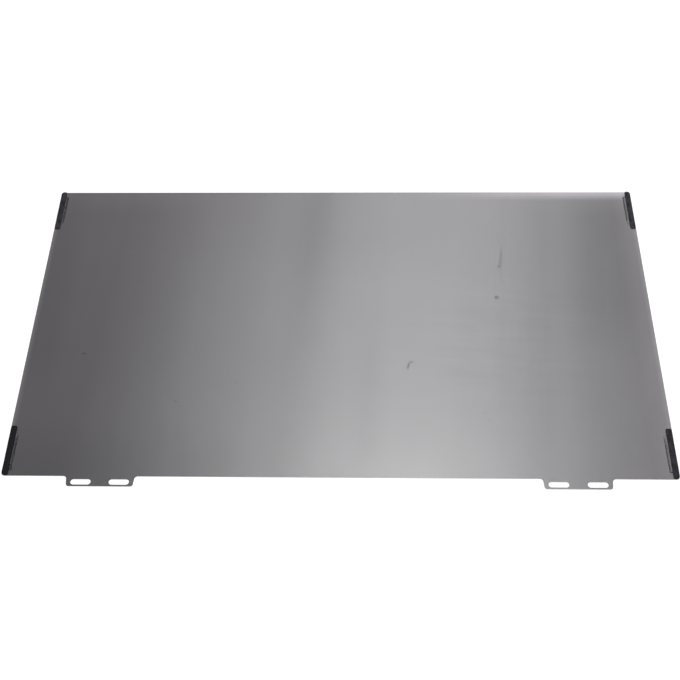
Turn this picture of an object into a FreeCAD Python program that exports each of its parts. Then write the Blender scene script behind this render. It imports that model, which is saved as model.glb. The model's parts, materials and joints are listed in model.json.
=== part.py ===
# Monitor privacy filter lying flat: one die-cut sheet with two slotted hanging tabs on a long edge,
# and at each corner a black strip held to the sheet by a clear adhesive pad.
# Origin at the centre of the sheet's underside, +X along its width, +Y away from the tabs, +Z up.
import FreeCAD, Part
import Sketcher
import math
import os

# Driving dimensions in millimetres
DIMENSIONS = (
    ("panel_width", "598"),
    ("panel_height", "336"),
    ("panel_thickness", "0.6"),
    ("panel_corner_radius", "3"),
    ("tab_side_gap", "58.5"),  # long edge left between the sheet's side and a tab's root
    ("tab_taper", "1"),  # how much further out each side of a tab is at its root
    ("tab_root_radius", "3"),
    ("tab_corner_radius", "2.5"),
    ("slot_length", "18"),
    ("slot_width", "5.4"),
    ("slot_gap", "16"),  # sheet left between a tab's two slots
    ("slot_end_wall", "3.5"),  # sheet left between a slot's end and the tab's side
    ("slot_tip_wall", "1.5"),  # sheet left between a slot and the tab's tip
    ("slot_root_wall", "3.1"),  # sheet left between a slot and the line of the long edge
    ("strip_length", "50"),
    ("strip_width", "5.6"),
    ("strip_thickness", "1.5"),
    ("strip_inset", "0.3"),  # sheet left bare outside a strip
    ("strip_corner_radius", "1"),
    ("strip_edge_round", "0.4"),
    ("pad_reach", "2.6"),  # pad left showing beside the strip
    ("pad_side_inset", "1.4"),  # strip left overhanging the pad along its outer side
    ("pad_end_inset", "6"),  # strip left overhanging the pad at each end
    ("pad_thickness", "0.3"),
    ("pad_corner_radius", "1.3"),
)

# Sizes that follow from the driving dimensions
SLOT_SPACING = "(Dims.slot_length + Dims.slot_gap)"
TAB_TIP_WIDTH = f"({SLOT_SPACING} + Dims.slot_length + 2 * Dims.slot_end_wall)"
TAB_ROOT_WIDTH = f"({TAB_TIP_WIDTH} + 2 * Dims.tab_taper)"
TAB_DROP = "(Dims.slot_root_wall + Dims.slot_width + Dims.slot_tip_wall)"
TAB_MIDDLE = f"(Dims.panel_width / 2 - Dims.tab_side_gap - {TAB_ROOT_WIDTH} / 2)"
STRIP_MIDDLE_X = "(Dims.panel_width / 2 - Dims.strip_inset - Dims.strip_width / 2)"
STRIP_MIDDLE_Y = "(Dims.panel_height / 2 - Dims.strip_inset - Dims.strip_length / 2)"
PAD_WIDTH = "(Dims.strip_width - Dims.pad_side_inset + Dims.pad_reach)"
PAD_LENGTH = "(Dims.strip_length - 2 * Dims.pad_end_inset)"
PAD_MIDDLE_X = f"({STRIP_MIDDLE_X} - (Dims.pad_side_inset + Dims.pad_reach) / 2)"

# The four corners: name, side along X, side along Y. The tabs are on the front edge.
CORNERS = (
    ("front_left", -1, -1),
    ("front_right", 1, -1),
    ("back_left", -1, 1),
    ("back_right", 1, 1),
)

SKETCH_ORIGIN = (-1, 1)  # geometry and point number of a sketch's own origin
TOUCHING = 1e-4  # two places closer than this are the same place
FLAT_LEFT = 0.1  # straight stretch that is always left between two rounds

doc = FreeCAD.newDocument("PrivacyFilter")


def make_sheet():
    sheet = doc.addObject("Spreadsheet::Sheet", "Dims")
    for row, (alias, value) in enumerate(DIMENSIONS, start=1):
        sheet.set(f"A{row}", alias)
        sheet.set(f"B{row}", value)
        sheet.setAlias(f"B{row}", alias)
    doc.recompute()
    return sheet


def size(expression):
    return float(dims.evalExpression(expression))


def new_body(label):
    body = doc.addObject("PartDesign::Body", label)
    body.Label = label
    return body


def origin_plane(body, role):
    return next(feature for feature in body.Origin.OriginFeatures if feature.Role == role)


def new_sketch(body, name):
    sketch = body.newObject("Sketcher::SketchObject", name)
    sketch.AttachmentSupport = [(origin_plane(body, "XY_Plane"), "")]
    sketch.MapMode = "FlatFace"
    return sketch


# Adds a named dimension to a sketch and binds it to an expression on the sheet
def bind(sketch, name, expression, kind, *places):
    index = sketch.addConstraint(Sketcher.Constraint(kind, *places, size(expression)))
    sketch.renameConstraint(index, name)
    sketch.setExpression(f"Constraints.{name}", expression)


# Adds a closed chain of straight lines through the points and joins their ends
def add_outline(sketch, points):
    count = len(points)
    ends = [FreeCAD.Vector(x, y, 0) for x, y in points]
    lines = [Part.LineSegment(ends[i], ends[(i + 1) % count]) for i in range(count)]
    first = sketch.addGeometry(lines, False)[0]
    for i in range(count):
        following = first + (i + 1) % count
        sketch.addConstraint(Sketcher.Constraint("Coincident", first + i, 2, following, 1))
    return first


# Rectangle centred on the body's origin
def rectangle_sketch(body, name, width, height):
    half_x, half_y = size(width) / 2, size(height) / 2
    sketch = new_sketch(body, name)
    corners = [(-half_x, -half_y), (half_x, -half_y), (half_x, half_y), (-half_x, half_y)]
    low = add_outline(sketch, corners)
    for line in (low, low + 2):
        sketch.addConstraint(Sketcher.Constraint("Horizontal", line))
    for line in (low + 1, low + 3):
        sketch.addConstraint(Sketcher.Constraint("Vertical", line))
    sketch.addConstraint(Sketcher.Constraint("Symmetric", low, 1, low + 2, 1, *SKETCH_ORIGIN))
    bind(sketch, "width", width, "DistanceX", low, 1, low, 2)
    bind(sketch, "height", height, "DistanceY", low + 1, 1, low + 1, 2)
    return sketch


# Raises a sketch upwards from the body's XY plane
def pad_up(body, name, sketch, thickness):
    pad = body.newObject("PartDesign::Pad", name)
    pad.Profile = sketch
    pad.setExpression("Length", thickness)
    sketch.Visibility = False
    doc.recompute()
    return pad


# Names of the feature's upright edges that stand at the given places in plan
def upright_edges(feature, places):
    names = []
    for number, edge in enumerate(feature.Shape.Edges, start=1):
        start, end = edge.Vertexes[0].Point, edge.Vertexes[-1].Point
        upright = abs(start.x - end.x) < TOUCHING and abs(start.y - end.y) < TOUCHING
        near = [p for p in places if abs(start.x - p[0]) < TOUCHING and abs(start.y - p[1]) < TOUCHING]
        if upright and near:
            names.append(f"Edge{number}")
    assert len(names) == len(places), f"{feature.Label}: {len(names)} upright edges found"
    return names


# Names of the edges that bound the feature's top face
def top_edges(feature):
    top = feature.Shape.BoundBox.ZMax
    names = []
    for number, edge in enumerate(feature.Shape.Edges, start=1):
        if all(abs(vertex.Point.z - top) < TOUCHING for vertex in edge.Vertexes):
            names.append(f"Edge{number}")
    return names


# Rounds the edges, never by more than their wall has room for
def round_edges(body, name, base, edges, radius, room):
    fillet = body.newObject("PartDesign::Fillet", name)
    fillet.Base = (base, edges)
    fillet.setExpression("Radius", f"min({radius}; {room} - {FLAT_LEFT})")
    doc.recompute()
    return fillet


# Trapezoid of the right-hand tab, its root on the sheet's front edge
def tab_sketch(body):
    sketch = new_sketch(body, "tab_profile")
    root = "Dims.panel_height / 2"
    tip = f"{root} + {TAB_DROP}"
    ends = (
        ("root_inner", f"{TAB_MIDDLE} - {TAB_ROOT_WIDTH} / 2", root),
        ("tip_inner", f"{TAB_MIDDLE} - {TAB_TIP_WIDTH} / 2", tip),
        ("tip_outer", f"{TAB_MIDDLE} + {TAB_TIP_WIDTH} / 2", tip),
        ("root_outer", f"{TAB_MIDDLE} + {TAB_ROOT_WIDTH} / 2", root),
    )
    first = add_outline(sketch, [(size(across), -size(down)) for _, across, down in ends])
    for line, (name, across, down) in enumerate(ends, start=first):
        bind(sketch, name + "_across", across, "DistanceX", *SKETCH_ORIGIN, line, 1)
        bind(sketch, name + "_down", down, "DistanceY", line, 1, *SKETCH_ORIGIN)
    return sketch


# One round-ended slot: two half circles joined by two straight sides
def add_slot(sketch, name, across, down):
    radius = "Dims.slot_width / 2"
    straight = "Dims.slot_length - Dims.slot_width"
    x, y, r, half = size(across), -size(down), size(radius), size(straight) / 2
    up = FreeCAD.Vector(0, 0, 1)
    left = Part.Circle(FreeCAD.Vector(x - half, y, 0), up, r)
    right = Part.Circle(FreeCAD.Vector(x + half, y, 0), up, r)
    quarter = math.pi / 2
    low = Part.LineSegment(FreeCAD.Vector(x - half, y - r, 0), FreeCAD.Vector(x + half, y - r, 0))
    high = Part.LineSegment(FreeCAD.Vector(x + half, y + r, 0), FreeCAD.Vector(x - half, y + r, 0))
    round_left = Part.ArcOfCircle(left, quarter, 3 * quarter)
    round_right = Part.ArcOfCircle(right, -quarter, quarter)
    arc_l, line_low, arc_r, line_high = sketch.addGeometry([round_left, low, round_right, high], False)
    for first, second in ((arc_l, line_low), (line_low, arc_r), (arc_r, line_high), (line_high, arc_l)):
        sketch.addConstraint(Sketcher.Constraint("Tangent", first, 2, second, 1))
    sketch.addConstraint(Sketcher.Constraint("Horizontal", line_low))
    sketch.addConstraint(Sketcher.Constraint("Equal", arc_l, arc_r))
    bind(sketch, name + "_radius", radius, "Radius", arc_l)
    bind(sketch, name + "_straight", straight, "DistanceX", arc_l, 3, arc_r, 3)
    bind(sketch, name + "_across", f"{across} - ({straight}) / 2", "DistanceX", *SKETCH_ORIGIN, arc_l, 3)
    bind(sketch, name + "_down", down, "DistanceY", arc_l, 3, *SKETCH_ORIGIN)


# Two slots side by side in the right-hand tab
def slot_sketch(body):
    sketch = new_sketch(body, "slot_profile")
    down = "Dims.panel_height / 2 + Dims.slot_root_wall + Dims.slot_width / 2"
    for name, side in (("inner", "-"), ("outer", "+")):
        add_slot(sketch, name, f"{TAB_MIDDLE} {side} {SLOT_SPACING} / 2", down)
    return sketch


# Plan corners of a rectangle centred on the origin
def plan_corners(width, height):
    half_x, half_y = size(width) / 2, size(height) / 2
    return [(sx * half_x, sy * half_y) for sx in (-1, 1) for sy in (-1, 1)]


def make_panel():
    body = new_body("filter_panel")
    outline = rectangle_sketch(body, "panel_outline", "Dims.panel_width", "Dims.panel_height")
    panel = pad_up(body, "panel", outline, "Dims.panel_thickness")
    tab = pad_up(body, "tab", tab_sketch(body), "Dims.panel_thickness")

    slots = body.newObject("PartDesign::Pocket", "slots")
    slots.Profile = slot_sketch(body)
    slots.Reversed = True
    slots.setExpression("Length", "Dims.panel_thickness")
    doc.recompute()
    assert slots.Shape.Volume < tab.Shape.Volume, "the slots cut nothing"

    both_tabs = body.newObject("PartDesign::Mirrored", "both_tabs")
    both_tabs.Originals = [tab, slots]
    both_tabs.MirrorPlane = (origin_plane(body, "YZ_Plane"), [""])
    body.Tip = both_tabs
    doc.recompute()
    added = both_tabs.Shape.Volume - panel.Shape.Volume
    one_side = slots.Shape.Volume - panel.Shape.Volume
    assert abs(added - 2 * one_side) < TOUCHING * added, "the second tab is missing"

    edge_y = size("Dims.panel_height / 2")
    tip_y = edge_y + size(TAB_DROP)
    middle, root, tip = size(TAB_MIDDLE), size(TAB_ROOT_WIDTH) / 2, size(TAB_TIP_WIDTH) / 2
    corners = plan_corners("Dims.panel_width", "Dims.panel_height")
    roots = [(sx * (middle + side * root), -edge_y) for sx in (-1, 1) for side in (-1, 1)]
    tips = [(sx * (middle + side * tip), -tip_y) for sx in (-1, 1) for side in (-1, 1)]
    shape = both_tabs
    for name, places, radius, room in (
        ("round_corners", corners, "Dims.panel_corner_radius", "Dims.tab_side_gap - Dims.tab_root_radius"),
        ("round_tab_roots", roots, "Dims.tab_root_radius", f"{TAB_DROP} / 2"),
        ("round_tab_tips", tips, "Dims.tab_corner_radius", f"{TAB_DROP} / 2"),
    ):
        shape = round_edges(body, name, shape, upright_edges(shape, places), radius, room)
    return body


def put(body, across, along, above):
    for axis, expression in (("x", across), ("y", along), ("z", above)):
        body.setExpression(f".Placement.Base.{axis}", expression)


# Black strip along a short edge, its outermost corner following the sheet's rounded corner
def make_strip(corner, side_x, side_y):
    body = new_body("corner_strip_" + corner)
    width, length, small = "Dims.strip_width", "Dims.strip_length", "Dims.strip_corner_radius"
    outline = rectangle_sketch(body, "strip_outline_" + corner, width, length)
    shape = pad_up(body, "strip_" + corner, outline, "Dims.strip_thickness")
    outermost = (side_x * size(width) / 2, side_y * size(length) / 2)
    others = [spot for spot in plan_corners(width, length) if spot != outermost]
    following = "Dims.panel_corner_radius - Dims.strip_inset"
    for name, places, radius, room in (
        ("strip_outer_corner_", [outermost], following, f"{width} - {small}"),
        ("strip_corners_", others, small, f"{width} / 2"),
    ):
        shape = round_edges(body, name + corner, shape, upright_edges(shape, places), radius, room)
    room = f"min({small}; Dims.strip_thickness)"
    round_edges(body, "strip_round_" + corner, shape, top_edges(shape), "Dims.strip_edge_round", room)
    above = "Dims.panel_thickness + Dims.pad_thickness"
    put(body, f"{side_x} * {STRIP_MIDDLE_X}", f"{side_y} * {STRIP_MIDDLE_Y}", above)
    return body


# Clear pad between strip and sheet, centred on the strip's length and showing on its inner side
def make_pad(corner, side_x, side_y):
    body = new_body("adhesive_pad_" + corner)
    outline = rectangle_sketch(body, "pad_outline_" + corner, PAD_WIDTH, PAD_LENGTH)
    pad = pad_up(body, "pad_" + corner, outline, "Dims.pad_thickness")
    edges = upright_edges(pad, plan_corners(PAD_WIDTH, PAD_LENGTH))
    room = f"min({PAD_WIDTH}; {PAD_LENGTH}) / 2"
    round_edges(body, "pad_corners_" + corner, pad, edges, "Dims.pad_corner_radius", room)
    put(body, f"{side_x} * {PAD_MIDDLE_X}", f"{side_y} * {STRIP_MIDDLE_Y}", "Dims.panel_thickness")
    return body


# Stops if any object failed or any piece is not one sound solid
def check(pieces):
    for item in doc.Objects:
        if "Invalid" in item.State or "Error" in item.State:
            raise RuntimeError(f"{item.Label} failed: {item.State}")
    for piece in pieces:
        shape = piece.Shape
        if shape.isNull() or not shape.isValid() or len(shape.Solids) != 1:
            raise RuntimeError(f"{piece.Label} is not one sound solid")


dims = make_sheet()
pieces = [make_panel()]
for corner in CORNERS:
    pieces.append(make_pad(*corner))
    pieces.append(make_strip(*corner))
doc.recompute()
check(pieces)

os.makedirs("parts", exist_ok=True)
for piece in pieces:
    piece.Shape.exportStep(f"parts/{piece.Label}.step")
    print(piece.Label, round(piece.Shape.Volume, 2), "mm3")
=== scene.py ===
# Looks of a monitor privacy filter lying on a white table: a smoky film with fine louvres inside it,
# four black foam strips at the corners, and a clear adhesive pad under each strip.
import json
import math
import bmesh
import bpy
import numpy as np
from mathutils import Matrix, Vector


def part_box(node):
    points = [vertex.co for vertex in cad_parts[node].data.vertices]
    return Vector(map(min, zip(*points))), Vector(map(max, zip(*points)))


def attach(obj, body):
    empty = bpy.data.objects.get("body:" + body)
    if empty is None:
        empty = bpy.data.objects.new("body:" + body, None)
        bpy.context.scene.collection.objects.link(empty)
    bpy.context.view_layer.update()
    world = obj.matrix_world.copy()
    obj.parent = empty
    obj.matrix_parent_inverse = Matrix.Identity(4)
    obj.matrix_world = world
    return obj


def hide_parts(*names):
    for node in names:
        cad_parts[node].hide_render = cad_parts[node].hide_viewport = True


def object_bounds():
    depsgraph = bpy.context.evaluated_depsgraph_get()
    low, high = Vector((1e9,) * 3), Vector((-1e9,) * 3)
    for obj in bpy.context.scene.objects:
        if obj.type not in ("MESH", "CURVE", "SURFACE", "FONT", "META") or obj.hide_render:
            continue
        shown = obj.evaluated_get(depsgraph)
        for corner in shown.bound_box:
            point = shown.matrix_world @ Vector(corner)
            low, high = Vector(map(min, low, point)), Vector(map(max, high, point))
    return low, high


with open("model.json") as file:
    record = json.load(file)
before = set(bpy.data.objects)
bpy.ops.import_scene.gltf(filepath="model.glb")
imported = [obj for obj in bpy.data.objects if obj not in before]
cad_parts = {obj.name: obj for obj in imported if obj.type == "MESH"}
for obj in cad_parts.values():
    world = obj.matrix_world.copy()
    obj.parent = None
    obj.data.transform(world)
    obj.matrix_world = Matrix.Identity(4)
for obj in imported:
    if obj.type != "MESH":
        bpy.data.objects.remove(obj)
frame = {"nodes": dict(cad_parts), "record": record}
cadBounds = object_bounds()
scene = bpy.context.scene
mm = 0.001  # lengths are in metres, so 3 * mm is 3 millimetres
white = (1.0, 1.0, 1.0, 1.0)
# which way each corner lies from the film's middle, in x and in y
cornerSides = {"front_left": (-1, -1), "front_right": (1, -1), "back_left": (-1, 1), "back_right": (1, 1)}
leftToRight = (-0.2, 0.2)  # places in x, and in y, between which the painted light on the strips and pads gets stronger
frontToBack = (-0.1, 0.1)
print("frame loaded:", len(frame["nodes"]), "nodes")


# A node with its settings and inputs: a socket as input value is linked, anything else is set
def addNode(tree, kind, inputs=None, **settings):
    node = tree.nodes.new(kind)
    for name, value in settings.items():
        setattr(node, name, value)
    for socket, value in (inputs or {}).items():
        if isinstance(value, bpy.types.NodeSocket):
            tree.links.new(value, node.inputs[socket])
        else:
            node.inputs[socket].default_value = value
    return node


def calc(tree, operation, *values):
    return addNode(tree, "ShaderNodeMath", dict(enumerate(values)), operation=operation).outputs[0]


# base + share * amount
def addShare(tree, base, amount, share):
    return calc(tree, "MULTIPLY_ADD", amount, share, base)


# Smooth step from 0 at start to 1 at end
def fade(tree, value, start, end):
    inputs = {"Value": value, "From Min": start, "From Max": end}
    return addNode(tree, "ShaderNodeMapRange", inputs, interpolation_type="SMOOTHSTEP").outputs["Result"]


# From low, where share is 0, to high, where it is 1
def between(tree, share, low, high):
    inputs = {"Value": share, "To Min": low, "To Max": high}
    return addNode(tree, "ShaderNodeMapRange", inputs).outputs["Result"]


# A colour mix has its share and both colours at inputs 0, 6 and 7, and the colour at output 2
def blendColours(tree, share, first, second):
    inputs = {0: share, 6: first, 7: second}
    return addNode(tree, "ShaderNodeMix", inputs, data_type="RGBA").outputs[2]


def objectSpot(tree):
    return addNode(tree, "ShaderNodeTexCoord").outputs["Object"]


def vectorLength(tree, vector):
    return addNode(tree, "ShaderNodeVectorMath", {0: vector}, operation="LENGTH").outputs["Value"]


# Noise from about -0.5 to 0.5, whose grains measure grain in x, y and z and are turned about z
def grainNoise(tree, spot, grain, turn=0.0, detail=3.0, roughness=0.55):
    turned = addNode(tree, "ShaderNodeMapping", {"Vector": spot, "Rotation": (0, 0, turn)})
    scale = tuple(1 / size for size in grain)
    sized = addNode(tree, "ShaderNodeMapping", {"Vector": turned.outputs[0], "Scale": scale})
    inputs = {"Vector": sized.outputs[0], "Scale": 1.0, "Detail": detail, "Roughness": roughness}
    return calc(tree, "SUBTRACT", addNode(tree, "ShaderNodeTexNoise", inputs).outputs["Fac"], 0.5)


# 1 inside a soft ellipse of half sizes size about place, 0 outside
def ellipseMask(tree, spot, place, size, turn, softness):
    moved = addNode(tree, "ShaderNodeMapping", {"Vector": spot, "Location": (-place[0], -place[1], 0)})
    turned = addNode(tree, "ShaderNodeMapping", {"Vector": moved.outputs[0], "Rotation": (0, 0, -turn)})
    scale = (1 / size[0], 1 / size[1], 0)
    sized = addNode(tree, "ShaderNodeMapping", {"Vector": turned.outputs[0], "Scale": scale})
    return fade(tree, vectorLength(tree, sized.outputs[0]), 1.0 + softness, 1.0 - softness)


def addBump(tree, shader, height, strength, distance):
    bump = addNode(tree, "ShaderNodeBump", {"Height": height, "Strength": strength, "Distance": distance})
    tree.links.new(bump.outputs["Normal"], shader.inputs["Normal"])


def newMaterial(name, sockets):
    material = bpy.data.materials.new(name)
    material.use_nodes = True
    shader = material.node_tree.nodes["Principled BSDF"]
    for socket, value in sockets.items():
        shader.inputs[socket].default_value = value
    return material, material.node_tree, shader


# Puts points and four-sided faces into the scene as a piece of the object
def addPiece(name, points, faces, material):
    mesh = bpy.data.meshes.new(name)
    mesh.from_pydata(points.reshape(-1, 3).tolist(), [], faces.reshape(-1, 4).tolist())
    mesh.materials.append(material)
    piece = bpy.data.objects.new(name, mesh)
    scene.collection.objects.link(piece)
    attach(piece, "root")
    return piece


# The film: satin and hazy on its upper face and cut edges, clear on its underside, with wipe streaks and
# marks, with painted light along its rims and with painted light and shade in patches
film = {
    "haze": (0.129, 0.1215, 0.1335, 1.0),
    "dirt": (0.020, 0.020, 0.021, 1.0),
    "upperAlpha": 0.72,
    "underAlpha": 0.03,
    "dirtAlpha": 0.96,
    "underSkin": (0.01 * mm, 0.04 * mm),  # heights between which the clear underside turns hazy
    "specular": 0.6,
    "ior": 1.5,
    "roughness": 0.30,
    "satin": 0.12,  # how far the roughness varies
    "satinGrain": (0.03, 0.05, 1.0),
    "slope": (0.30, 0.60),  # painted light: by how much the film gets lighter over a metre to the right and to the far edge
    "cloud": 0.20,  # shares by which it varies: over a hand's width,
    "cloudGrain": (0.22, 0.30, 1.0),
    "streak": 0.12,  # across the louvres,
    "streakGrain": (0.03, 0.9, 1.0),
    "wipe": 0.45,  # and in the wipes
    "wipeGrain": (0.10, 0.014, 1.0),
    "wipeTurn": 0.07,
    "wipePlace": (0.150, -0.022),
    "wipeSize": (0.072, 0.070),
    "wipeSoftness": 0.75,
    "markSoftness": 0.45,
}
# Painted light and shade on the film, lighter where the haze share is above 0 and darker where it is
# below:
# where a patch starts and where it is full, in x and in y, and the shares of haze and of opacity that it
# adds
everywhere = (-2.0, -1.0)  # a start and an end that lie off the film
paintedLightPatches = {
    "leftRimLight": ((-0.2935, -0.2990), everywhere, 0.65, 0.0),
    "rightRimLight": ((0.2935, 0.2990), everywhere, 0.65, 0.0),
    "rightGlow": ((0.275, 0.299), everywhere, 0.50, 0.0),
    "farRimLight": ((0.06, 0.28), (0.155, 0.168), 3.3, 0.0),
    "farGlow": ((0.15, 0.27), (0.130, 0.168), 0.45, 0.0),
    "farLeftGlow": ((-0.12, -0.20), (0.135, 0.168), 0.20, 0.0),
    # painted shade: more opacity at the far side darkens the film where the table shows through it
    "farOpacityShade": ((0.22, 0.06), (0.03, 0.12), 0.0, 0.033),
    "frontLeftShade": ((-0.03, -0.17), (-0.095, -0.165), -0.20, 0.03),
    "leftShade": ((-0.255, -0.285), (-0.10, -0.02), -0.14, 0.0),
    "rightShade": ((0.18, 0.245), (-0.05, 0.03), -0.25, 0.0),
}
# Marks on the film: middle, half length, half width, turn in degrees, strength
filmMarks = {
    "leftDot": (-0.2447, -0.0375, 0.0017, 0.0013, 0, 0.80),
    "rightDot": (0.1518, 0.0305, 0.0020, 0.0019, 20, 0.37),
    "tickStem": (0.0640, -0.0500, 0.0036, 0.0011, 78, 0.36),
    "tickTop": (0.0668, -0.0458, 0.0024, 0.0010, 10, 0.28),
    "thread": (0.1588, 0.0800, 0.0120, 0.0012, 82, 0.17),
    "threadFoot": (0.1566, 0.0690, 0.0020, 0.0018, 0, 0.30),
    "padSmear": (-0.2918, -0.1622, 0.0026, 0.0016, 0, 1.0),
    "smudgeA": (-0.1513, -0.0905, 0.0028, 0.0013, -30, 0.34),
    "smudgeB": (-0.1465, -0.0960, 0.0015, 0.0010, -20, 0.28),
    "faintA": (-0.0964, -0.0694, 0.0022, 0.0014, 0, 0.16),
    "faintB": (0.1326, -0.1018, 0.0018, 0.0013, 10, 0.14),
    "faintC": (0.1367, -0.1091, 0.0018, 0.0014, 0, 0.14),
}


def makeFilm(louvreTurn):
    sockets = {"Specular IOR Level": film["specular"], "IOR": film["ior"]}
    material, tree, shader = newMaterial("smokyFilm", sockets)
    spot = objectSpot(tree)
    x, y, z = addNode(tree, "ShaderNodeSeparateXYZ", {0: spot}).outputs
    clouds = grainNoise(tree, spot, film["cloudGrain"])
    streaks = grainNoise(tree, spot, film["streakGrain"], turn=-louvreTurn, detail=1.0)
    wipes = grainNoise(tree, spot, film["wipeGrain"], turn=film["wipeTurn"], detail=2.0)
    patch = ellipseMask(tree, spot, film["wipePlace"], film["wipeSize"], 0.0, film["wipeSoftness"])
    # Painted light: the film is lighter to the right and to the far edge
    tone = addShare(tree, 1.0, x, film["slope"][0])
    tone = addShare(tree, tone, y, film["slope"][1])
    tone = addShare(tree, tone, clouds, film["cloud"])
    tone = addShare(tree, tone, streaks, film["streak"])
    tone = addShare(tree, tone, calc(tree, "MULTIPLY", wipes, patch), film["wipe"])
    opacity = film["upperAlpha"]
    # Patches of painted light and shade, some of it as more opacity
    for xEdges, yEdges, paintedToneShare, paintedOpacityShare in paintedLightPatches.values():
        mask = calc(tree, "MULTIPLY", fade(tree, x, *xEdges), fade(tree, y, *yEdges))
        tone = addShare(tree, tone, mask, paintedToneShare)
        opacity = addShare(tree, opacity, mask, paintedOpacityShare)
    stain = 0.0
    for px, py, length, width, turn, strength in filmMarks.values():
        size = (length, width)
        mark = ellipseMask(tree, spot, (px, py), size, math.radians(turn), film["markSoftness"])
        stain = calc(tree, "MAXIMUM", calc(tree, "MULTIPLY", mark, strength), stain)
    hazeInputs = {0: film["haze"][:3], "Scale": tone}
    haze = addNode(tree, "ShaderNodeVectorMath", hazeInputs, operation="SCALE").outputs["Vector"]
    tree.links.new(blendColours(tree, stain, haze, film["dirt"]), shader.inputs["Base Color"])
    upper = fade(tree, z, *film["underSkin"])
    alpha = between(tree, upper, film["underAlpha"], opacity)
    tree.links.new(between(tree, stain, alpha, film["dirtAlpha"]), shader.inputs["Alpha"])
    satin = grainNoise(tree, spot, film["satinGrain"], detail=5.0)
    roughness = addShare(tree, film["roughness"], satin, film["satin"])
    tree.links.new(roughness, shader.inputs["Roughness"])
    return material


# The louvres: thin black plates across the film's thickness, which shut off slanting sight lines
louvre = {
    "turn": math.radians(-4.0),  # from the sheet's upright, about +Z
    "gapShare": 0.333,  # clear gap over louvre height
    "thick": 0.006 * mm,
    "skin": 0.03 * mm,  # film left above and below the louvres,
    "inset": 0.03 * mm,  # and beyond their ends
    "lean": 0.085,  # sideways shift over the height: how far it differs from louvre to louvre,
    "leanStep": 0.618034,  # in steps of the golden ratio,
    "sway": 0.005,  # and how far it drifts
    "swayWidth": 12 * mm,
    "seed": 5,
    "segments": 5,
    "ink": (0.010, 0.010, 0.011, 1.0),
    "roughness": 0.65,
    "specular": 0.2,
}
# Streaks where the louvres lean together: place across, width, and lean at the front and at the back
dimStreaks = {
    "middleLeft": (-34 * mm, 21 * mm, -0.016, -0.047),
    "frontMiddle": (36 * mm, 14 * mm, -0.040, 0.0),
    "midRight": (188 * mm, 17 * mm, 0.012, 0.014),
    "farRight": (255 * mm, 26 * mm, 0.018, 0.030),
}
streakTurn = (-50 * mm, 70 * mm)  # the front's lean gives way to the back's between these lines
# The film's outline, which the louvres keep to
outline = {
    "panelHalf": (299 * mm, 168 * mm),
    "panelRadius": 3 * mm,
    "tabMiddle": 210 * mm,
    "tabRootHalf": 30.5 * mm,
    "tabTipHalf": 29.5 * mm,
    "tabDrop": 10 * mm,
    "rootRadius": 3 * mm,
    "tipRadius": 2.5 * mm,
    "arcSteps": 7,
    "slotEndSteps": 12,
}


# Rounds each corner of a closed polygon with an arc that touches both sides: its middle lies on the
# corner's bisector, and its points turn evenly from one touching point to the other
def roundCorners(points, radii, steps):
    points, radii = np.asarray(points, float), np.asarray(radii, float)[:, None]
    back = np.roll(points, 1, axis=0) - points
    ahead = np.roll(points, -1, axis=0) - points
    back /= np.linalg.norm(back, axis=1, keepdims=True)
    ahead /= np.linalg.norm(ahead, axis=1, keepdims=True)
    halfAngle = np.arccos((back * ahead).sum(1, keepdims=True)) / 2
    bisector = (back + ahead) / np.linalg.norm(back + ahead, axis=1, keepdims=True)
    middle = points + bisector * radii / np.sin(halfAngle)
    first = points + back * radii / np.tan(halfAngle) - middle
    last = points + ahead * radii / np.tan(halfAngle) - middle
    sweep = (math.pi - 2 * halfAngle)[:, :, None]
    share = np.linspace(0, 1, steps)[None, :, None]
    arc = np.sin((1 - share) * sweep) * first[:, None] + np.sin(share * sweep) * last[:, None]
    return (middle[:, None] + arc / np.sin(sweep)).reshape(-1, 2)


# The film's outline with both tabs, and its four round-ended slots, as closed chains of points that
# keep inset inside the film. The left half mirrors the right one, and a slot's second end is its
# first one turned half round.
def filmChains(inset):
    halfX, halfY = (half - inset for half in outline["panelHalf"])
    tipY = -outline["panelHalf"][1] - outline["tabDrop"] + inset
    middle = outline["tabMiddle"]
    root, tip = outline["tabRootHalf"] - inset, outline["tabTipHalf"] - inset
    tab = [(middle - root, -halfY), (middle - tip, tipY), (middle + tip, tipY), (middle + root, -halfY)]
    half = tab + [(halfX, -halfY), (halfX, halfY)]
    radii = [outline["rootRadius"], outline["tipRadius"], outline["tipRadius"], outline["rootRadius"]]
    radii += [outline["panelRadius"]] * 2
    whole = half + [(-x, y) for x, y in reversed(half)]
    chains = [roundCorners(whole, radii + radii[::-1], outline["arcSteps"])]
    turn = np.linspace(-math.pi / 2, math.pi / 2, outline["slotEndSteps"])
    for mount in frame["record"]["mounts"]:
        if mount["name"].startswith("hanging_slots"):
            dims = mount["dims"]
            reach = (dims["slot_length_mm"] / 2 - dims["hole_r_mm"]) * mm
            radius = dims["hole_r_mm"] * mm + inset
            for side in (-1, 1):
                x, y = mount["pos_m"][0] + side * dims["spacing_x_mm"] / 2 * mm, mount["pos_m"][1]
                end = np.stack([x + reach + radius * np.cos(turn), y + radius * np.sin(turn)], axis=1)
                chains.append(np.concatenate([end, 2 * np.array([x, y]) - end]))
    return chains


# Random numbers from -1 to 1, each a mean of its neighbours under a bell of this width. Twice their
# spread counts as 1.
def smoothRandom(random, count, width):
    reach = np.arange(-2 * width, 2 * width + 1) / width
    weights = np.exp(-reach ** 2)
    raw = np.convolve(random.normal(size=count + len(weights) - 1), weights, mode="valid")
    return np.clip(raw / (2 * raw.std()), -1, 1)


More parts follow.
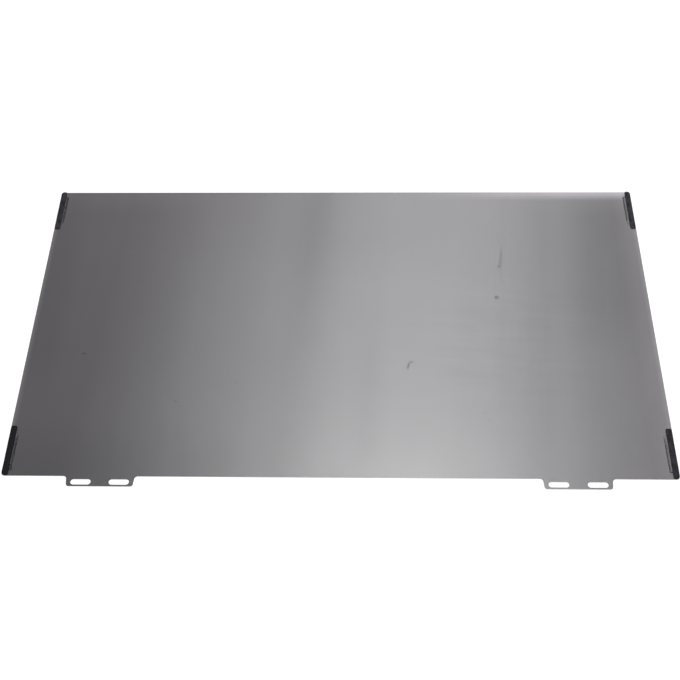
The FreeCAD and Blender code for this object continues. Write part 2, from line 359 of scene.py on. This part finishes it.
# Louvre k is the line at k pitches across the film. It runs where an odd number of chain edges lie
# behind it, so sorting the places where it crosses the chains gives the ends of its stretches in pairs.
# The result is each louvre's place across, then each stretch's louvre number, start and end.
def louvreStretches(pitch, across, along):
    chains = filmChains(louvre["inset"])
    starts = np.concatenate(chains)
    ends = np.concatenate([np.roll(chain, -1, axis=0) for chain in chains])
    startAcross, endAcross = starts @ across, ends @ across
    startAlong, endAlong = starts @ along, ends @ along
    lines = np.arange(startAcross.min() + pitch / 2, startAcross.max(), pitch)
    crosses = (startAcross <= lines[:, None]) != (endAcross <= lines[:, None])
    width = endAcross - startAcross
    slope = (endAlong - startAlong) / np.where(width == 0, 1.0, width)
    places = np.where(crosses, startAlong + (lines[:, None] - startAcross) * slope, np.inf)
    places = np.sort(places, axis=1)[:, :2 * int(crosses.sum(axis=1).max() // 2)]
    line, pair = np.nonzero(np.isfinite(places[:, 1::2]))
    return lines, line, places[line, pair * 2], places[line, pair * 2 + 1]


# The lean of each stretch at its stops. Steps of the golden ratio spread the leans of any few
# neighbours evenly over the whole range, then come a slow drift and the streaks, each a bell across
# the film that goes from its front lean to its back lean.
def louvreLeans(lines, line, stops, pitch):
    lean = louvre["lean"] * (2 * (np.arange(len(lines)) * louvre["leanStep"] % 1) - 1)
    random = np.random.default_rng(louvre["seed"])
    lean += louvre["sway"] * smoothRandom(random, len(lines), round(louvre["swayWidth"] / pitch))
    lean = np.repeat(lean[line, None], stops.shape[1], axis=1)
    back = np.clip((stops - streakTurn[0]) / (streakTurn[1] - streakTurn[0]), 0, 1)
    for place, width, frontLean, backLean in dimStreaks.values():
        extra = frontLean + (backLean - frontLean) * back
        lean += extra * np.exp(-((lines[line, None] - place) / width) ** 2)
    return lean


def makeInk():
    sockets = {
        "Base Color": louvre["ink"],
        "Roughness": louvre["roughness"],
        "Specular IOR Level": louvre["specular"],
    }
    return newMaterial("louvreInk", sockets)[0]


# Each stretch of a louvre is a plate: a thin section carried straight along the line from stop to
# stop, leaning at each
def makeLouvres():
    low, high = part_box("filter_panel")
    bottom, top = low.z + louvre["skin"], high.z - louvre["skin"]
    pitch = louvre["gapShare"] * (top - bottom) + louvre["thick"]
    along = np.array([-math.sin(louvre["turn"]), math.cos(louvre["turn"])])
    across = np.array([along[1], -along[0]])
    lines, line, first, last = louvreStretches(pitch, across, along)
    share = np.linspace(0, 1, louvre["segments"] + 1)
    stops = first[:, None] + (last - first)[:, None] * share
    lean = louvreLeans(lines, line, stops, pitch)
    sideways = np.array([-1, 1, 1, -1]) * louvre["thick"] / 2
    level = np.array([bottom, bottom, top, top])
    placeAcross = lines[line, None, None] + sideways + (level - (bottom + top) / 2) * lean[:, :, None]
    shape = placeAcross.shape
    placeAlong = np.broadcast_to(stops[:, :, None], shape)
    flat = placeAcross[..., None] * across + placeAlong[..., None] * along
    points = np.concatenate([flat, np.broadcast_to(level, shape)[..., None]], axis=3)
    index = np.arange(points.size // 3).reshape(shape)
    turned = np.roll(index, -1, axis=2)
    sides = np.stack([index[:, :-1], index[:, 1:], turned[:, 1:], turned[:, :-1]], axis=3)
    faces = np.concatenate([sides.reshape(-1, 4), index[:, 0], index[:, -1, ::-1]])
    addPiece("film_louvres", points, faces, makeInk())
    print("louvres:", len(line), "plates at a pitch of", round(pitch / mm, 3), "mm")


# A slab with a rounded outline. Ring number p is the outline inset by insets[p] at height heights[p]:
# each corner is an arc whose radius shrinks with the inset, and straight sides join the corners.
def slabRings(half, radii, insets, heights, steps):
    insets = np.asarray(insets, float)[:, None]
    quarter = np.linspace(0, math.pi / 2, steps["arc"])
    arcs = []
    for number, side in enumerate(((1, 1), (-1, 1), (-1, -1), (1, -1))):
        radius = np.maximum(radii[side] - insets, 0)
        angle = quarter + number * math.pi / 2
        x = side[0] * (half[0] - insets - radius) + radius * np.cos(angle)
        y = side[1] * (half[1] - insets - radius) + radius * np.sin(angle)
        arcs.append(np.stack([x, y], axis=2))
    rows = []
    for number, count in enumerate((steps["short"], steps["long"]) * 2):
        share = np.linspace(0, 1, count + 2)[1:-1][None, :, None]
        start, end = arcs[number][:, -1:], arcs[(number + 1) % 4][:, :1]
        rows += [arcs[number], start + (end - start) * share]
    flat = np.concatenate(rows, axis=1)
    level = np.broadcast_to(np.asarray(heights, float)[:, None, None], flat.shape[:2] + (1,))
    return np.concatenate([flat, level], axis=2)


# Four-sided faces from each ring to the next, all the way round
def ringFaces(rings, around):
    index = np.arange(rings * around).reshape(rings, around)
    turned = np.roll(index, -1, axis=1)
    return np.stack([index[:-1], turned[:-1], turned[1:], index[1:]], axis=2)


# Closes the seams where the first and last ring fold shut, and turns the faces outwards
def closeSlab(piece):
    near = 0.002 * mm
    shape = bmesh.new()
    shape.from_mesh(piece.data)
    bmesh.ops.remove_doubles(shape, verts=shape.verts, dist=near)
    bmesh.ops.dissolve_degenerate(shape, dist=near, edges=shape.edges)
    bmesh.ops.recalc_face_normals(shape, faces=shape.faces)
    shape.to_mesh(piece.data)
    shape.free()
    piece.data.shade_smooth()


def halfSize(low, high):
    return (high.x - low.x) / 2, (high.y - low.y) / 2


def footMiddle(low, high):
    return np.array([(low.x + high.x) / 2, (low.y + high.y) / 2, low.z])


# The strips: matt black foam rubber with a soft crown and a slightly uneven edge
strip = {
    "crown": 0.28 * mm,
    "edgeRound": 0.45 * mm,
    "foot": 0.12 * mm,
    "outerRadius": 3.0 * mm,
    "smallRadius": 1.6 * mm,
    "wobble": 0.05 * mm,
    "ripples": (2.3 * mm, 5.1 * mm),  # lengths of the wobble's two sines, over 2 pi
    "seed": 11,
    "steps": {"arc": 9, "short": 7, "long": 90},
    "edgeSteps": 7,
    "topRings": 12,
    "colour": (0.0042, 0.0040, 0.0055, 1.0),
    "dustAndLight": (0.046, 0.0443, 0.0552, 1.0),
    "dustGrain": (0.0035, 0.006, 0.004),
    "dustEdges": (-0.30, 0.16),  # noise at which a patch of dust starts, and at which it is full
    "leastDustAndLight": 0.05,
    "rightLight": 0.62,  # shares of painted light on the right and at the far side
    "farLight": 0.80,
    "specular": 0.10,
    "ior": 1.5,
    "roughness": 0.62,
    "roughShare": 0.3,  # how far the roughness varies with the grain
    "grain": (0.0012, 0.0012, 0.0012),
    "poreScale": 2600.0,  # pores to a metre
    "bump": (0.5, 0.12 * mm),  # strength and depth
}


def makeFoam():
    sockets = {"Specular IOR Level": strip["specular"], "IOR": strip["ior"]}
    material, tree, shader = newMaterial("blackFoam", sockets)
    spot = objectSpot(tree)
    x, y = addNode(tree, "ShaderNodeSeparateXYZ", {0: spot}).outputs[:2]
    # Dust patches with painted light: more of the pale dust colour shows to the right and at the far side
    patches = fade(tree, grainNoise(tree, spot, strip["dustGrain"], detail=5.0), *strip["dustEdges"])
    leftDim = between(tree, fade(tree, x, *leftToRight), 1.0, 1.0 - strip["rightLight"])
    frontDim = between(tree, fade(tree, y, *frontToBack), 1.0, 1.0 - strip["farLight"])
    dustAndLightShare = between(tree, calc(tree, "MULTIPLY", leftDim, frontDim), 1.0, strip["leastDustAndLight"])
    dustAndLight = calc(tree, "MULTIPLY", patches, dustAndLightShare)
    tree.links.new(blendColours(tree, dustAndLight, strip["colour"], strip["dustAndLight"]), shader.inputs["Base Color"])
    poreInputs = {"Vector": spot, "Scale": strip["poreScale"]}
    pores = addNode(tree, "ShaderNodeTexVoronoi", poreInputs).outputs["Distance"]
    grain = grainNoise(tree, spot, strip["grain"], detail=4.0)
    addBump(tree, shader, calc(tree, "ADD", pores, grain), *strip["bump"])
    roughness = addShare(tree, strip["roughness"], grain, strip["roughShare"])
    tree.links.new(roughness, shader.inputs["Roughness"])
    return material


# Half profile of a strip, from the middle of its foot out, up its side, over the edge round, which is
# a quarter circle, and in along the crown, which is a parabola, as inset and height
def stripProfile(halfX, tall):
    shoulder = tall - strip["crown"]
    turn = np.linspace(0, math.pi / 2, strip["edgeSteps"])
    rounded = strip["edgeRound"]
    across = np.linspace(rounded, halfX, strip["topRings"])[1:]
    bulge = 1 - ((halfX - across) / (halfX - rounded)) ** 2
    insets = [[halfX, strip["foot"], 0], rounded * (1 - np.cos(turn)), across]
    edge, top = shoulder - rounded * (1 - np.sin(turn)), shoulder + strip["crown"] * bulge
    heights = [[0, 0, strip["foot"]], edge, top]
    return np.concatenate(insets), np.concatenate(heights)


# A strip is a slab on its profile, with its largest corner at the film's. Both long sides waver
# inwards by two sines of the place along the strip.
def makeStrips():
    foam = makeFoam()
    random = np.random.default_rng(strip["seed"])
    for corner, side in cornerSides.items():
        low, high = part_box("corner_strip_" + corner)
        half = halfSize(low, high)
        radii = {key: strip["smallRadius"] for key in cornerSides.values()}
        radii[side] = strip["outerRadius"]
        insets, heights = stripProfile(half[0], high.z - low.z)
        rings = slabRings(half, radii, insets, heights, strip["steps"])
        phase = random.uniform(0, 2 * math.pi, 2)
        first, second = (rings[..., 1] / length for length in strip["ripples"])
        ripple = np.sin(first + phase[0]) + np.sin(second + phase[1])
        waver = strip["wobble"] / half[0] * (1 + ripple / 2)
        rings[..., 0] *= 1 - np.abs(rings[..., 0] / half[0]) ** 2 * waver
        rings += footMiddle(low, high)
        piece = addPiece("foam_" + corner, rings, ringFaces(*rings.shape[:2]), foam)
        closeSlab(piece)
        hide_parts("corner_strip_" + corner)
    print("strips: four, of foam")


# The pads: clear adhesive with a soft edge, along which runs a dark line of painted shade
pad = {
    "lift": 0.01 * mm,  # keeps the pad's faces off the film's and the strip's
    "edgeRound": 0.2 * mm,
    "radius": 1.3 * mm,
    "steps": {"arc": 8, "short": 8, "long": 70},
    "edgeSteps": 5,
    "topRings": 9,
    "clear": (0.16, 0.157, 0.165, 1.0),
    "fleckAndLight": (0.50, 0.50, 0.51, 1.0),
    # the dirt colour and opacity serve both the real black residue and the painted shade line along the
    # edge
    "dirt": (0.012, 0.012, 0.014, 1.0),
    "clearAlpha": 0.22,
    "fleckAndLightAlpha": 0.60,
    "dirtAlpha": 0.92,
    "shadeWidth": 1.25 * mm,
    "shadeFade": 7 * mm,
    "shadeGrain": (0.003, 0.006, 0.003),
    "shadeUneven": 0.5,
    "shadeEdges": (0.30, 0.65),  # rim at which the painted shade line starts, and at which it is full
    "residuePlace": (-0.2915, -0.1578),  # a black smear by the front left pad's end
    "residueSize": (0.0026, 0.0013),
    "residueSoftness": 0.5,
    "fleckGrain": (0.0012, 0.0024, 0.0012),
    "fleckEdges": (0.12, 0.24),  # noise at which a fleck starts, and at which it is full
    "rightLight": 0.5,  # share of painted light on the right-hand pads
    "specular": 0.35,
    "ior": 1.48,
    "roughness": 0.12,
    "bumpGrain": (0.002, 0.003, 0.002),
    "bump": (0.6, 0.3 * mm),  # strength and depth
}


def makeClear():
    sockets = {"Roughness": pad["roughness"], "IOR": pad["ior"], "Specular IOR Level": pad["specular"]}
    material, tree, shader = newMaterial("clearAdhesive", sockets)
    spot = objectSpot(tree)
    x = addNode(tree, "ShaderNodeSeparateXYZ", {0: spot}).outputs[0]
    rim = addNode(tree, "ShaderNodeAttribute", attribute_name="rim").outputs["Fac"]
    # The dark line along the pad's edge is painted shade; dirt joins it with the real black residue
    uneven = grainNoise(tree, spot, pad["shadeGrain"], detail=4.0)
    line = fade(tree, addShare(tree, rim, uneven, pad["shadeUneven"]), *pad["shadeEdges"])
    residueSize, softness = pad["residueSize"], pad["residueSoftness"]
    residue = ellipseMask(tree, spot, pad["residuePlace"], residueSize, 0.0, softness)
    dirt = calc(tree, "MAXIMUM", line, residue)
    # Painted light: the right-hand pads are paler, on top of their pale flecks
    dustAndLight = calc(tree, "MULTIPLY", fade(tree, x, *leftToRight), pad["rightLight"])
    fleckAndLight = fade(tree, grainNoise(tree, spot, pad["fleckGrain"], detail=2.0), *pad["fleckEdges"])
    fleckAndLight = calc(tree, "MAXIMUM", fleckAndLight, dustAndLight)
    colour = blendColours(tree, fleckAndLight, pad["clear"], pad["fleckAndLight"])
    tree.links.new(blendColours(tree, dirt, colour, pad["dirt"]), shader.inputs["Base Color"])
    alpha = between(tree, fleckAndLight, pad["clearAlpha"], pad["fleckAndLightAlpha"])
    tree.links.new(between(tree, dirt, alpha, pad["dirtAlpha"]), shader.inputs["Alpha"])
    addBump(tree, shader, grainNoise(tree, spot, pad["bumpGrain"], detail=2.0), *pad["bump"])
    return material


# Half profile of a pad, from the middle of its foot out, straight up, over the edge round and in
# along the flat top, as inset and height
def padProfile(halfX, tall):
    rounded = pad["edgeRound"]
    turn = np.linspace(0, math.pi / 2, pad["edgeSteps"])
    across = np.linspace(rounded, halfX, pad["topRings"])[1:]
    insets = [[halfX, 0], rounded * (1 - np.cos(turn)), across]
    heights = [[0, 0], tall - rounded * (1 - np.sin(turn)), np.full(len(across), tall)]
    return np.concatenate(insets), np.concatenate(heights)


# rim is 1 at the pad's sides and at its end by the corner, and falls to 0 over the width of the painted
# shade line; it fades out towards the other end
def addRim(piece, middle, half, cornerY):
    spots = np.empty(len(piece.data.vertices) * 3)
    piece.data.vertices.foreach_get("co", spots)
    x, y = (spots.reshape(-1, 3)[:, :2] - middle).T
    rim = 1 - np.minimum(half[0] - np.abs(x), half[1] - cornerY * y) / pad["shadeWidth"]
    rim = np.clip(rim, 0, 1) * np.clip((half[1] + cornerY * y) / pad["shadeFade"], 0, 1)
    attribute = piece.data.attributes.new("rim", "FLOAT", "POINT")
    attribute.data.foreach_set("value", rim)


# A pad is a slab on its profile, with four like corners
def makePads():
    clear = makeClear()
    radii = {key: pad["radius"] for key in cornerSides.values()}
    for corner, side in cornerSides.items():
        low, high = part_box("adhesive_pad_" + corner)
        half = halfSize(low, high)
        foot = footMiddle(low, high) + np.array([0, 0, pad["lift"]])
        insets, heights = padProfile(half[0], high.z - low.z - 2 * pad["lift"])
        rings = slabRings(half, radii, insets, heights, pad["steps"]) + foot
        piece = addPiece("clear_" + corner, rings, ringFaces(*rings.shape[:2]), clear)
        closeSlab(piece)
        addRim(piece, foot[:2], half, side[1])
        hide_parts("adhesive_pad_" + corner)
    print("pads: four, clear")


# Table, world and lamps
stage = {
    "tableSize": 14.0,
    "tableDrop": 0.05 * mm,  # keeps the table's face off the film's underside
    "tableColour": (0.80, 0.80, 0.80, 1.0),
    "tableRoughness": 0.9,
    "tableSpecular": 0.1,
    "tableGlow": 0.44,  # only what a camera, mirror or glass ray sees: of the bare table by the film,
    "fullGlow": 1.0,  # and of the table behind the film and further off
    "glowRise": (0.35, 1.6),  # distances over which the glow makes up for the lamps' falling light
    "worldFill": 0.20,  # the white world's strength as a light
}
lamps = {
    "softbox": {"place": (0.10, -0.25, 1.7), "aim": (0.0, 0.0, 0.0), "size": (0.8, 0.8), "power": 14.0},
    "rearLamp": {"place": (0.15, 0.70, 2.0), "aim": (0.0, 0.0, 0.0), "size": (0.55, 0.25), "power": 9.0},
    "rightFill": {"place": (1.6, 1.1, 1.0), "aim": (0.1, 0.0, 0.0), "size": (0.9, 0.9), "power": 6.0},
}


# 1 on what a camera, mirror or glass ray sees, 0 on what only lights the object
def seenRay(tree):
    path = addNode(tree, "ShaderNodeLightPath").outputs
    either = calc(tree, "MAXIMUM", path["Is Camera Ray"], path["Is Glossy Ray"])
    return calc(tree, "MAXIMUM", either, path["Is Transmission Ray"])


def makeWhiteTable():
    sockets = {
        "Base Color": stage["tableColour"],
        "Roughness": stage["tableRoughness"],
        "Specular IOR Level": stage["tableSpecular"],
        "Emission Color": white,
    }
    material, tree, shader = newMaterial("whiteTable", sockets)
    further = fade(tree, vectorLength(tree, objectSpot(tree)), *stage["glowRise"])
    depth = addNode(tree, "ShaderNodeLightPath").outputs["Transparent Depth"]
    behind = calc(tree, "MINIMUM", depth, 1.0)  # 1 where it is seen through the film
    share = calc(tree, "MAXIMUM", behind, further)
    glow = between(tree, share, stage["tableGlow"], stage["fullGlow"])
    tree.links.new(calc(tree, "MULTIPLY", seenRay(tree), glow), shader.inputs["Emission Strength"])
    return material


def makeTable():
    half = stage["tableSize"] / 2
    level = cadBounds[0].z - stage["tableDrop"]
    spots = [(-half, -half, level), (half, -half, level), (half, half, level), (-half, half, level)]
    mesh = bpy.data.meshes.new("table")
    mesh.from_pydata(spots, [], [(0, 1, 2, 3)])
    mesh.materials.append(makeWhiteTable())
    table = bpy.data.objects.new("table", mesh)
    scene.collection.objects.link(table)
    print("table:", stage["tableSize"], "m wide")


def makeLight():
    world = bpy.data.worlds.new("white")
    scene.world = world
    world.use_nodes = True
    tree = world.node_tree
    background = tree.nodes["Background"]
    background.inputs["Color"].default_value = white
    strength = between(tree, seenRay(tree), stage["worldFill"], 1.0)
    tree.links.new(strength, background.inputs["Strength"])
    for name, values in lamps.items():
        light = bpy.data.lights.new(name, "AREA")
        light.shape = "RECTANGLE"
        light.size, light.size_y = values["size"]
        light.energy = values["power"]
        lamp = bpy.data.objects.new(name, light)
        lamp.location = values["place"]
        look = Vector(values["aim"]) - lamp.location
        lamp.rotation_euler = look.to_track_quat("-Z", "Y").to_euler()
        lamp.visible_camera = False
        scene.collection.objects.link(lamp)
    print("light: white world and", len(lamps), "lamps")


# The camera: its place, aim and turn about its own axis, and its lens and sensor in millimetres
view = {
    "eye": (0.0286, -0.6190, 0.8634),
    "aim": (-0.0007, -0.0206, 0.0),
    "roll": math.radians(-2.155),
    "lens": 58.19,
    "sensor": 36.0,
}


def makeCamera():
    data = bpy.data.cameras.new("camera")
    data.lens = view["lens"]
    data.sensor_width = view["sensor"]
    data.sensor_fit = "HORIZONTAL"
    camera = bpy.data.objects.new("camera", data)
    look = (Vector(view["aim"]) - Vector(view["eye"])).to_track_quat("-Z", "Y").to_matrix()
    rolled = (look @ Matrix.Rotation(view["roll"], 3, "Z")).to_4x4()
    camera.matrix_world = Matrix.Translation(view["eye"]) @ rolled
    scene.collection.objects.link(camera)
    scene.camera = camera
    print("camera:", view["lens"], "mm lens")


scene.view_settings.view_transform = "Standard"
panel = frame["nodes"]["filter_panel"]
panel.data.materials.clear()
panel.data.materials.append(makeFilm(louvre["turn"]))
print("film: smoky, with", len(filmMarks), "marks")
makeLouvres()
makeStrips()
makePads()
makeTable()
makeLight()
makeCamera()
